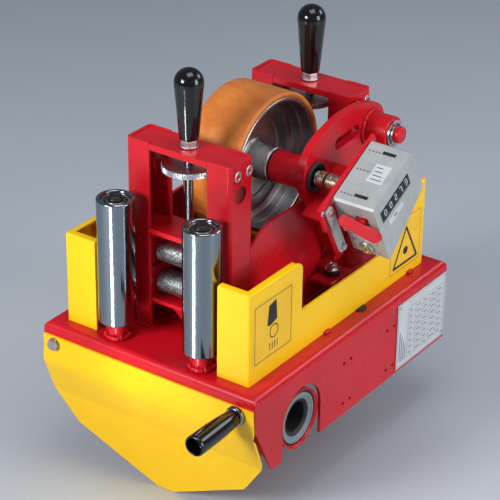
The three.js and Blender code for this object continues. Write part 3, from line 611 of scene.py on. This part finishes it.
def rating_plate():
    """Foil plate with ruled columns and blank cells, held by two small screws."""
    y0, y1, z0, z1, x = 91.4, 202.6, 4.4, 92.6, HALF_W + 0.3
    plate = slab(box(y0, z0, y1, z1), x, x + 1.0, "X", bevel=0.2)
    piece("rating_plate_foil", plate, PAPER, "frame", ["rating_plate"])
    marks = []

    def mark(a0, b0, a1, b1):
        marks.append(slab(box(a0, b0, a1, b1), x + 0.95, x + 1.12, "X", bevel=0))

    for a0, b0, a1, b1 in ((y0 + 1.5, z0 + 1.5, y0 + 1.9, z1 - 1.5), (y1 - 1.9, z0 + 1.5, y1 - 1.5, z1 - 1.5),
                           (y0 + 1.5, z0 + 1.5, y1 - 1.5, z0 + 1.9),
                           (y0 + 1.5, z1 - 1.9, y1 - 1.5, z1 - 1.5)):
        mark(a0, b0, a1, b1)
    for row in range(9):
        mark(y0 + 24, z0 + 8 + row * 8.4, y1 - 5, z0 + 8.35 + row * 8.4)
    for column in range(6):
        mark(y0 + 24 + column * 16.4, z0 + 8, y0 + 24.35 + column * 16.4, z0 + 75.4)
    for row in range(8):
        for column in range(5):
            wide = 6 + (row * 5 + column * 3) % 5
            mark(y0 + 27 + column * 16.4, z0 + 11.4 + row * 8.4, y0 + 27 + column * 16.4 + wide,
                 z0 + 12.9 + row * 8.4)
    for line in range(4):
        mark(y0 + 6 + line * 4.2, z0 + 8, y0 + 7.5 + line * 4.2, z0 + 48 - line * 7)
    piece("rating_plate_ruling", merged(*marks), FADED, "frame")
    for i, (y, z) in enumerate(((y0 + 5, z1 - 5), (y1 - 5, z0 + 5))):
        screw = lathe([(0, x + 0.6), (2.6, x + 0.6), (2.4, x + 1.1), (1.2, x + 1.2), (1.0, x + 0.9),
                       (0, x + 0.9)], "X", (0, y, z), 24, 0.1)
        piece(f"plate_screw_{i}", screw, BRIGHT, "frame")


def near(value, target, slack=0.6):
    return abs(value - target) < slack


def front_guard():
    def level(z):
        return lambda a, b: near(a.z, z, 1.4) and near(b.z, z, 1.4) and abs(a.x - b.x) > 100
    refined("front_guard", YELLOW, "frame", 0.7, [(level(57), 7), (level(10), 9)])
    face = -205.6              # the guard's outer side
    x, z = 126.7, 82           # the hand grip
    stud = lathe([(0, face + 17), (3.9, face + 17), (3.9, face - 0.1), (12, face - 0.1), (12, face - 3.8),
                  (10.6, face - 5.4), (5, face - 5.6), (5, face - 54), (6.6, face - 54.4), (6.6, face - 57.6),
                  (0, face - 57.9)], "Y", (x, 0, z), 64, 0.5)
    piece("handle_pin", stud, CHROME, "frame", ["handle_stud"])
    base_y = face - 6
    grip = lathe([(5.6, base_y), (9.0, base_y), (9.8, base_y - 1.2), (11.0, base_y - 14), (11.9, base_y - 26),
                  (12.5, base_y - 44), (12.6, base_y - 62), (12.5, base_y - 69), (11.9, base_y - 71.2),
                  (10.6, base_y - 71.9), (9.6, base_y - 70.6), (9.5, base_y - 56.4), (7.2, base_y - 56.2),
                  (5.6, base_y - 56.2)], "Y", (x, 0, z), 96, 0.9, closed=True)
    piece("guard_grip_body", grip, GRIP, "guard_grip", ["guard_hand_grip"])
    bx, bz = -132.3, 83        # the bolt
    washer = lathe([(4.4, face + 0.1), (8, face + 0.1), (8, face - 1.1), (4.4, face - 1.1)], "Y", (bx, 0, bz),
                   48, 0.2, closed=True)
    head = slab(hexagon(12.8), face - 5.4, face - 1.1, "Y", (bx, 0, bz), bevel=0.5)
    shank = lathe([(0, face - 5.3), (3.9, face - 5.3), (3.9, face + 17), (3.2, face + 17.8),
                   (0, face + 17.8)], "Y", (bx, 0, bz), 32, 0.3)
    piece("guard_bolt_set", merged(washer, head, shank), BRIGHT, "frame", ["guard_bolt"])


def side_guards():
    top, front, rear, x = 221, -184.7, 181, 128.4

    def outer_top(a, b):
        return near(a.z, top) and near(b.z, top) and near(abs(a.x), x) and near(abs(b.x), x)

    def outer_front(a, b):
        return all(near(abs(v.x), x) and near(v.y, front) for v in (a, b)) and abs(a.z - b.z) > 50

    def outer_rear(a, b):
        return all(near(abs(v.x), x) and near(v.y, rear) for v in (a, b)) and abs(a.z - b.z) > 50

    def across_top(a, b):
        return all(near(v.z, top) and near(v.y, front) for v in (a, b)) and abs(a.x - b.x) > 20

    for name in ("left", "right"):
        refined(f"{name}_side_guard", YELLOW, "frame", 0.6, [
            (lambda a, b: outer_top(a, b) or outer_front(a, b) or outer_rear(a, b) or across_top(a, b), 2.7)])
    # stickers on the right guard's outer face
    sheet = x + 0.05
    ink = (sheet + 0.15, sheet + 0.3)
    panel = box(-178, 127, -101, 205)
    foil = slab(fillet_loop(panel, 4), sheet, sheet + 0.2, "X", bevel=0)
    piece("guard_sticker", foil, STICKER, "frame")
    edge = slab(fillet_loop(inset(panel, 3.2), 3), *ink, "X", holes=[fillet_loop(inset(panel, 4.0), 3)],
                bevel=0)
    # a plain mark: a bar, a ring and four short strokes
    cy, cz = -139, 168
    bar = slab([(cy - 9, cz + 26), (cy + 5, cz + 29), (cy + 7, cz + 4), (cy - 7, cz + 0), (cy - 12, cz + 2)],
               *ink, "X", bevel=0)
    ring = slab(circle(cy + 1, cz - 9, 8.6, 32), *ink, "X", holes=[circle(cy + 1, cz - 9, 7.2, 32)], bevel=0)
    strokes = [
        slab([(cy - 8 + i * 5, cz - 22), (cy - 6.6 + i * 5, cz - 22), (cy - 5.2 + i * 4.4, cz - 31),
              (cy - 6.6 + i * 4.4, cz - 31)],
             *ink, "X", bevel=0)
        for i in range(4)
    ]
    piece("guard_sticker_mark", merged(edge, bar, ring, *strokes), INK_AND_SHADE, "frame")
    # warning triangle outline with a plain dot
    panel = box(103, 117, 174, 189)
    foil = slab(fillet_loop(panel, 3), sheet, sheet + 0.2, "X", bevel=0)
    outer = [(110, 124), (168, 124), (139, 176)]
    frame_ = slab(fillet_loop(outer, 4), *ink, "X", holes=[fillet_loop(inset(outer, 3.2), 2)], bevel=0)
    dot = slab(circle(139, 142, 5.2, 32), *ink, "X", bevel=0)
    line = slab(fillet_loop(inset(panel, 2.4), 3), sheet + 0.15, sheet + 0.25, "X",
                holes=[fillet_loop(inset(panel, 2.9), 3)], bevel=0)
    piece("triangle_sticker", foil, STICKER, "frame")
    piece("triangle_sticker_mark", merged(frame_, dot, line), INK_AND_SHADE, "frame")


def fillet_loop(loop, radius):
    """A closed outline with rounded corners."""
    middle = tuple((Vector(loop[0]) + Vector(loop[-1])) / 2)
    return [tuple(p) for p in fillet([middle, *loop, middle], radius, 5)[:-1]]


def inset(loop, distance):
    """A convex closed outline moved inwards."""
    out = []
    n = len(loop)
    for i in range(n):
        a, b, c = (Vector(loop[(i + k) % n]) for k in (-1, 0, 1))
        u, v = (b - a).normalized(), (c - b).normalized()
        normal = Vector((-u.y - v.y, u.x + v.x)).normalized()
        half = math.sqrt((1 + u.dot(v)) / 2)
        out.append(tuple(b + normal * distance / half))
    return out


# ---- upright rollers ----------------------------------------------------------------------
def entry_rollers():
    low, high = 128, 282.4     # the tube's two ends
    foot_r = 13.2              # where the post meets the base
    for name, x in (("left", -59.5), ("right", 59.5)):
        at = (x, ENTRY_Y, 0)
        shell = lathe([(17, low + 1), (20.6, low), (22, low + 1.3), (22, high - 1.3), (20.6, high),
                       (18, high - 0.3), (17, high - 1.4)], "Z", at, 128, 0.6, closed=True)
        piece(f"{name}_entry_sleeve", shell, CHROME, f"{name}_entry", [f"{name}_entry_roller"])
        outer = lathe([(16.6, high - 14), (16.6, high - 3.4), (14.6, high - 3.2), (14.2, high - 4.2),
                       (14.2, high - 14)], "Z", at, 64, 0.3, closed=True)
        inner = lathe([(8.3, high - 14), (10.8, high - 14), (10.8, high - 4.2), (10.4, high - 3.2),
                       (8.3, high - 3.2)], "Z", at, 64, 0.3, closed=True)
        shield = lathe([(10.8, high - 5.4), (14.2, high - 5.4), (14.2, high - 4.7), (12.4, high - 4.4),
                        (10.8, high - 4.7)], "Z", at, 64, 0.2, closed=True)
        piece(f"{name}_entry_races", merged(outer, inner), BRIGHT, f"{name}_entry",
              [f"{name}_entry_bearing"])
        piece(f"{name}_entry_shield", shield, RUBBER_AND_SHADE, f"{name}_entry")
        stud = lathe([(0, 107.4), (15.5, 107.4), (14.6, 108.6), (12.6, 111), (11.4, 116), (11, 124),
                      (10.6, 126.8), (7.8, 127.6), (7.8, high - 4.2), (0, high - 4.2)], "Z", at, 64, 0.8)
        piece(f"{name}_entry_post", stud, RED, "frame", [f"{name}_entry_stud"])
        end = lathe([(7.9, high - 4.2), (7.9, high - 2.6), (9.4, high - 2.6), (9.6, high - 2.2),
                     (9.6, high - 0.4), (9.0, high + 0.4), (7.9, high + 0.5), (7.7, high + 2.2),
                     (6.6, high + 3.0), (3.0, high + 3.1), (2.4, high + 2.2), (0, high + 2.0)], "Z", at, 48,
                     0.35)
        piece(f"{name}_entry_end", end, OILED, "frame")
        bead(f"{name}_entry_weld", ring_path("Z", (x, ENTRY_Y, 109.6), 13.6, 44, 10, 385), 2.9, "frame", 7)
        lumps = []
        for i, (turn, size) in enumerate(((12, 3.2), (68, 4.0), (130, 3.0), (188, 3.8), (236, 4.3),
                                          (284, 3.5), (322, 4.4))):
            reach, height = foot_r + 0.4 * (i % 3), 110.4 + 0.5 * (i % 2)
            path = [(x + reach * math.cos(a), ENTRY_Y + foot_r * math.sin(a), height)
                    for a in (math.radians(turn) + b for b in (-0.16, 0.0, 0.16))]
            lumps.append(weld(path, size, i + 2))
        piece(f"{name}_entry_weld_lumps", merged(*lumps), RED, "frame")


# ---- portals ------------------------------------------------------------------------------
def threaded(r, depth, pitch, z0, z1, at):
    """A threaded rod: the surface dips along a helix."""
    bm = bmesh.new()
    sides, rows = 28, int((z1 - z0) / pitch * 6)
    rings = []
    for row in range(rows + 1):
        z = z0 + (z1 - z0) * row / rows
        ring = []
        for k in range(sides):
            phase = (z / pitch - k / sides) % 1
            dip = depth * min(1.0, 2.4 * abs(phase - 0.5))
            a = 2 * math.pi * k / sides
            rr = r - depth + dip
            ring.append(bm.verts.new((rr * math.cos(a) * MM, rr * math.sin(a) * MM, z * MM)))
        rings.append(ring)
    skin(bm, rings)
    spin_to(bm, "Z", at)
    return to_mesh(bm, 50)


def spindle(end, at):
    """A threaded rod with its knurled wheel, lock nut and hand grip."""
    body = f"{end}_spindle"
    rod = threaded(5, 0.55, 3, 224, 355.6, at)
    piece(f"{end}_screw_rod", rod, CHROME, body, [body])
    teeth, tip, root, bore = 72, 31.0, 30.2, 5.3
    rims = [tip if i % 4 in (1, 2) else root for i in range(4 * teeth)]
    outline = [(r * math.cos(math.pi * i / (2 * teeth)), r * math.sin(math.pi * i / (2 * teeth)))
               for i, r in enumerate(rims)]
    wheel = slab(outline, 313, 319.6, "Z", at, holes=[circle(0, 0, bore, 24)], bevel=0.35, segments=1)
    hub = lathe([(bore, 305.2), (11.8, 305.2), (12.8, 306.2), (12.8, 313.4), (bore, 313.4)], "Z", at,
                64, 0.4, closed=True)
    face = lathe([(13.5, 312.9), (27, 312.9), (28, 313.3), (12.8, 313.3)], "Z", at, 64, 0.2, closed=True)
    piece(f"{end}_hand_wheel", merged(wheel, hub, face), BRIGHT, body, [f"{end}_knurled_wheel"])
    nut = slab(hexagon(16.6), 341.2, 348.4, "Z", at, holes=[circle(0, 0, bore, 24)], bevel=0.6)
    washer = lathe(box(5.4, 340.4, 10.5, 341.2), "Z", at, 48, 0.2, closed=True)
    piece(f"{end}_lock_nut", merged(nut, washer), BRIGHT, body, [f"{end}_grip_nut"])
    dome = [(16.7 * math.cos(math.radians(a)), 415.6 + 16.8 * math.sin(math.radians(a)))
            for a in range(4, 88, 7)]
    grip = lathe([(0, 357), (5.6, 357), (5.6, 349), (9.8, 349), (10.8, 349.8), (11.6, 355), (13.2, 374),
                  (15.2, 397), (16.3, 409), (16.75, 413), *dome, (0, 432.4)], "Z", at, 96, 0.5)
    piece(f"{end}_grip", grip, GRIP, body, [f"{end}_hand_grip"])


def portals():
    for end, y in PORTALS:
        for side, sign in SIDES:
            refined(f"{end}_{side}_post", RED, "frame", 0.8)
            path = [(sign * 42, y - 22.4, 108.2), (sign * 67, y - 22.6, 108.4), (sign * 72.6, y - 16, 108.4),
                    (sign * 72.8, y + 16, 108.4), (sign * 67, y + 22.6, 108.4), (sign * 42, y + 22.4, 108.2)]
            bead(f"{end}_{side}_foot_weld", path, 2.2, "frame", sign + 3)
            for i, dy in enumerate((-7, 14)):
                head = lathe([(0, sign * 70.2), (6.4, sign * 70.2), (6.4, sign * 71.7), (5.7, sign * 72.1),
                              (3.4, sign * 72.2), (2.9, sign * 71.0), (0, sign * 70.9)], "X",
                              (0, y + dy, 325), 40, 0.25)
                piece(f"{end}_{side}_screw_{i}", head, BRIGHT, "frame")
        refined(f"{end}_top_plate", RED, "frame", 0.8)
        refined(f"{end}_bearer", RED, "frame", 0.8)
        refined(f"{end}_carriage", RED, f"{end}_carriage", 0.8)
        for kind, z in (("lower", 162), ("upper", 201)):
            roller = lathe([(6.4, -38.2), (11.6, -38.2), (12.4, -37.8), (13.3, -36.4), (13.3, 36.4),
                            (12.4, 37.8), (11.6, 38.2), (6.4, 38.2)], "X", (0, y, z), 96, 0.5, closed=True)
            body = f"{end}_{kind}_roller"
            piece(f"{end}_{kind}_drum", roller, GROUND, body, [body])
        spindle(end, (0, y, 0))


def between_portals():
    refined("support_frame", RED, "frame", 0.9)
    for end, y in (("front", -55), ("rear", 55)):
        roller = lathe([(8.6, -59.8), (17.4, -59.8), (18.4, -59.2), (20, -57.6), (20, 57.6), (18.4, 59.2),
                        (17.4, 59.8), (8.6, 59.8)], "X", (0, y, 155.3), 96, 0.5, closed=True)
        body = f"{end}_support_roller"
        piece(f"{end}_support_drum", roller, GROUND, body, [body])
    for name, x in (("left", -70.3), ("right", 70.3)):
        bead(f"{name}_cheek_weld", [(x, -98, 108.4), (x, 95, 108.4)], 2.0, "frame", 9)


# ---- swing arm ----------------------------------------------------------------------------
def bezier(points, start, control, end):
    """Adds the points of a quadratic curve, without its start."""
    steps = 10
    for i in range(1, steps + 1):
        t = i / steps
        points.append((
            start[0] * (1 - t) ** 2 + 2 * control[0] * t * (1 - t) + end[0] * t * t,
            start[1] * (1 - t) ** 2 + 2 * control[1] * t * (1 - t) + end[1] * t * t))


def curve(start, *moves):
    """An outline of lines (one point) and curves (control point, end point)."""
    points, at = [start], start
    for move in moves:
        if isinstance(move[0], tuple):
            bezier(points, at, *move)
            at = move[1]
        else:
            points.append(move)
            at = move
    return points[:-1] if points[-1] == points[0] else points


def swing_arm():
    faces = (78, 88)               # the plate's two sides
    plate_outline = curve(
        (-25, 288), ((-24, 307), (-8, 319)), ((17, 334), (52, 338)), (80, 338.7), ((108, 337), (126, 329)),
        ((145, 319), (144, 300)), ((141, 276), (114, 268)), ((70, 256), (34, 222)), (22, 211), (14, 214),
        ((-3, 240), (-14, 256)), ((-26, 271), (-25, 288)))
    slot_r, tube_bore, hub_bore = 7.4, 15.4, 10.5
    slot = arc(46, 305.5, slot_r, 90, 270, 12) + arc(82, 308, slot_r, -90, 90, 12)
    holes = [slot, circle(*DRUM[1:], tube_bore, 48), circle(*PIVOT[1:], hub_bore, 40)]
    plate = slab(plate_outline, *faces, "X", holes=holes, bevel=1.6)
    hub = lathe([(hub_bore, 72.6), (19.2, 72.6), (19.5, 73), (19.5, 117.8), (18.6, 118.9), (11.4, 118.9),
                 (hub_bore, 118)], "X", PIVOT, 96, 0.6, closed=True)
    tube = lathe([(tube_bore, 35.2), (17.8, 35.2), (19, 36.4), (19, 84), (tube_bore, 84)], "X", DRUM, 96, 0.6,
                 closed=True)
    lug = slab([(20, 213), (36, 224), (64, 160), (66, 160), (66, 154), (45, 154), (45, 160), (48, 160)],
               *faces, "X", bevel=0.9)
    piece("arm_plate", merged(plate, hub, tube, lug), RED, "swing_arm", ["swing_arm"])
    bead("pivot_hub_weld", ring_path("X", (89, *PIVOT[1:]), 20.6, 60), 2.3, "swing_arm", 11)
    bead("tube_weld", ring_path("X", (77, *DRUM[1:]), 20.0, 60), 2.3, "swing_arm", 12)
    for name, x in (("inner", 38), ("outer", 70)):
        race = lathe(box(9.0, x, 15, x + 12), "X", DRUM, 64, 0.6, closed=True)
        piece(f"{name}_race", race, BRIGHT, "swing_arm", [f"{name}_drum_bearing"])
    seal = lathe([(12, 84.2), (14.9, 84.2), (14.9, 88.4), (18.4, 88.4), (18.4, 90), (17, 91.8), (15.2, 91.8),
                  (14.6, 90.6), (12.6, 90.2), (12, 89.6)], "X", DRUM, 72, 0.4, closed=True)
    piece("seal_ring", seal, RUBBER_AND_SHADE, "swing_arm", ["shaft_seal"])
    pin = lathe([(0, 50.2), (12.6, 50.2), (14, 51.6), (14, 67), (10, 67), (10, 124.6), (9.2, 124.8),
                 (9.2, 126.0), (10, 126.2), (10, 129.6), (8.8, 130.9), (0, 130.9)], "X", PIVOT, 72, 0.4)
    piece("pivot_pin", pin, RED, "frame", ["pivot_shaft"])
    spacer = lathe(box(hub_bore, 119.4, 16.3, 121.6), "X", PIVOT, 72, 0.3, closed=True)
    clip = slab(arc(0, 0, 13.0, 118, 422, 40) + arc(0, 0, 10.4, 422, 118, 40), 122.2, 124.2, "X", PIVOT,
                bevel=0.2, segments=1)
    piece("pivot_clip", merged(spacer, clip), BRIGHT, "frame", ["pivot_washer"])


def drum():
    tyre = lathe([(79.6, -34.8), (83, -35.7), (84.6, -35.2), (86, -33), (86, 33), (84.6, 35.2), (83, 35.7),
                  (79.6, 34.8)], "X", DRUM, 160, 1.2, closed=True)
    piece("tread", tyre, TYRE, "drum", ["drum_tyre"])
    outer, inner = 79.2, 74.7      # the rim's two radii
    rim = lathe([(8.9, -18), (20, -18), (21, -17), (21, -9), (24, -6), (70, -6), (inner - 1, -10),
                 (inner, -33.8), (inner + 1, -35), (outer - 0.6, -35), (outer, -34.4), (outer, 34.4),
                 (outer - 0.6, 35), (inner + 1, 35), (inner, 33.8), (inner, 20), (inner - 2, 18.6),
                 (inner - 2.6, 8), (68, 3), (50, 3), (48, 2.2), (28, 2.2), (24, 3), (21.4, 6), (21, 14),
                 (21, 32.8), (19.6, 34.1), (8.9, 34.1)], "X", DRUM, 160, 0.9, closed=True)
    piece("rim", rim, TURNED, "drum", ["drum_rim"])
    shaft = lathe([(0, -21.8), (7.6, -21.8), (8.5, -20.8), (8.5, 93), (7.8, 93.9), (0, 93.9)], "X", DRUM, 64,
                  0.4)
    piece("shaft", shaft, BRIGHT, "drum", ["drum_shaft"])
    body = lathe([(0, 94.4), (8.8, 94.4), (9.7, 95.2), (9.7, 103.8), (8.4, 104.2), (7.4, 104.4), (7.4, 106.8),
                  (8.4, 107), (9.7, 107.4), (9.7, 112.4), (8.9, 112.8), (8.9, 114.0), (9.7, 114.4),
                  (9.7, 119.6), (8.6, 120.8), (8.6, 126.6), (7.8, 127.2), (4, 127.4), (4, 134.2), (0, 134.3)],
                  "X", DRUM, 72, 0.3)
    piece("coupling", body, BRASS, "drum", ["shaft_coupling"])
    band = lathe(box(7.5, 104.5, 9.5, 106.7), "X", DRUM, 64, 0.3, closed=True)
    piece("coupling_band", band, RUBBER_AND_SHADE, "drum")
    for i, turn in enumerate((20, 200)):
        grub = lathe([(0, 7.6), (2.0, 7.6), (2.0, 9.9), (1.2, 9.95), (1.0, 9.2), (0, 9.2)], "Z", (0, 0, 0),
                     20, 0.1)
        placed(grub, (99.4, *DRUM[1:]), Matrix.Rotation(math.radians(turn), 4, "X"))
        piece(f"coupling_screw_{i}", grub, OILED, "drum")


# ---- counter ------------------------------------------------------------------------------
TILT = math.radians(28)


def tilted(mesh):
    """Turns a mesh built upright in the counter's own frame, about the drum axis, into place."""
    return placed(mesh, DRUM, Matrix.Rotation(TILT, 4, "X"))


def counter():
    refined("counter_bracket", RED, "swing_arm", 0.8)
    refined("counter_case", CASE, "swing_arm", 1.2)
    # face details: dashed rows, two slots drawn as flat dark patches of painted shade, and a blank label on
    # the upper face
    dark, pale = [], []
    top = 17.5
    for y, dashes in ((-20, 4), (16, 6), (44, 4)):
        spots = [box(139 + i * 4.4, y, 141.4 + i * 4.4, y + 1.2) for i in range(dashes)]
        # the two wide patches are painted shade, standing for two slots
        if dashes == 4:
            spots.append(box(156.6, y, 173.6, y + 4.4))
        dark += [slab(spot, top - 0.1, top + 0.12, "Z", bevel=0) for spot in spots]
    pale.append(slab(fillet_loop(box(158, 4, 178, 30), 1), top - 0.1, top + 0.14, "Z", bevel=0))
    for line in range(4):
        dark.append(slab(box(161, 8 + line * 5.6, 175 - line * 2, 9 + line * 5.6),
                         top + 0.1, top + 0.2, "Z", bevel=0))
    side = 188
    pale.append(slab(fillet_loop(box(-12, -30, 18, -22), 0.8), side - 0.1, side + 0.1, "X", bevel=0))
    dark.append(slab(box(-2, -27, 5, -25), side + 0.05, side + 0.16, "X", bevel=0))
    frame_ = box(-24, -18, 42, 4)
    rim = slab(fillet_loop(frame_, 2), side - 0.2, side + 0.18, "X", holes=[inset(frame_, 2.0)], bevel=0)
    piece("counter_marks_and_slot_shade", tilted(merged(*dark)), INK_AND_SHADE, "swing_arm")
    piece("counter_labels", tilted(merged(*pale)), PAPER, "swing_arm")
    piece("counter_window_rim", tilted(rim), CASE, "swing_arm")
    # number window: a dark back with five ribbed wheels that show plain numerals
    back = slab(box(-21.4, -15.4, 39.4, 1.4), 186.8, 187.2, "X", bevel=0.1)
    piece("counter_window_back", tilted(back), INK_AND_SHADE, "swing_arm", ["counter_window"])
    wheels, numerals = [], []
    for i, kind in enumerate("00273"):
        y = -17 + i * 11.6
        wheels.append(slab(fillet_loop(box(y, -13.4, y + 9.6, -0.8), 0.8), 187.1, 187.5, "X", bevel=0.2))
        numerals += [slab(loop, 187.45, 187.62, "X", bevel=0) for loop in digit(kind, y + 2.4, -12, 9.6)]
    piece("number_wheels", tilted(merged(*wheels)), RUBBER_AND_SHADE, "swing_arm")
    piece("numerals", tilted(merged(*numerals)), PAPER, "swing_arm")
    # strap with its two bolts and spring washers
    strap = slab(fillet_loop(box(-50, -58, -38, 14), 3), 134.7, 137.5, "X", bevel=0.6)
    bolts = []
    for z in (8, -52):
        bolts.append(slab(hexagon(7.6), 138.2, 140.9, "X", (0, -44, z), bevel=0.3))
        bolts.append(lathe(box(0, 137.4, 4.6, 138.2), "X", (0, -44, z), 32, 0.15))
    piece("strap_plate", tilted(strap), CASE, "swing_arm", ["counter_strap"])
    piece("strap_bolts", tilted(merged(*bolts)), BRIGHT, "swing_arm")
    for i, (y, z) in enumerate(((-52, 14), (-30, 12))):
        screw = lathe([(0, 133.6), (3.2, 133.6), (3.2, 134.5), (2.4, 134.9), (0, 134.9)], "X", (0, y, z), 28,
                      0.2)
        piece(f"bracket_screw_{i}", tilted(screw), BRIGHT, "swing_arm")
    # key lock in the apron below the lever
    barrel = lathe([(0, -31.2), (9.2, -31.2), (9.2, -33.6), (8.2, -34.6), (7.2, -34.6), (6.8, -33.4),
                    (5.0, -33.4), (4.8, -35.0), (0, -35.0)], "Y", (161, 0, -58.5), 56, 0.3)
    piece("key_lock", tilted(barrel), BRIGHT, "swing_arm")
    # a thin black sheet on the lock's face: painted shade for the dark keyway slot
    slot_shade = slab(box(160.4, -61.8, 161.6, -55.2), -35.2, -34.8, "Y", bevel=0.1)
    piece("key_slot_painted_shade", tilted(slot_shade), INK_AND_SHADE, "swing_arm")
    for i, (x, z) in enumerate(((147, -47), (176, -47), (176, -63))):
        screw = lathe([(0, -30.8), (2.6, -30.8), (2.6, -32.0), (1.9, -32.6), (0, -32.6)], "Y", (x, 0, z), 24,
                      0.2)
        piece(f"apron_screw_{i}", tilted(screw), BRIGHT, "swing_arm")
    bar_outline = arc(-21, 0, 6.8, 90, 270, 14) + arc(21, 0, 6.8, -90, 90, 14)
    bar = slab(bar_outline, -2.9, 2.9, "Z", bevel=1.3, segments=3)
    placed(bar, (171, -42, -8), Matrix.Rotation(math.radians(45), 4, "X")
           @ Matrix.Rotation(math.radians(-10), 4, "Z"))
    stem = slab(box(163, -42, 173, -16), -11, -5, "Z", bevel=0.8)
    piece("reset_bail", tilted(merged(bar, stem)), RED, "reset_lever", ["reset_lever"])


base()
rating_plate()
front_guard()
side_guards()
entry_rollers()
portals()
between_portals()
swing_arm()
drum()
counter()
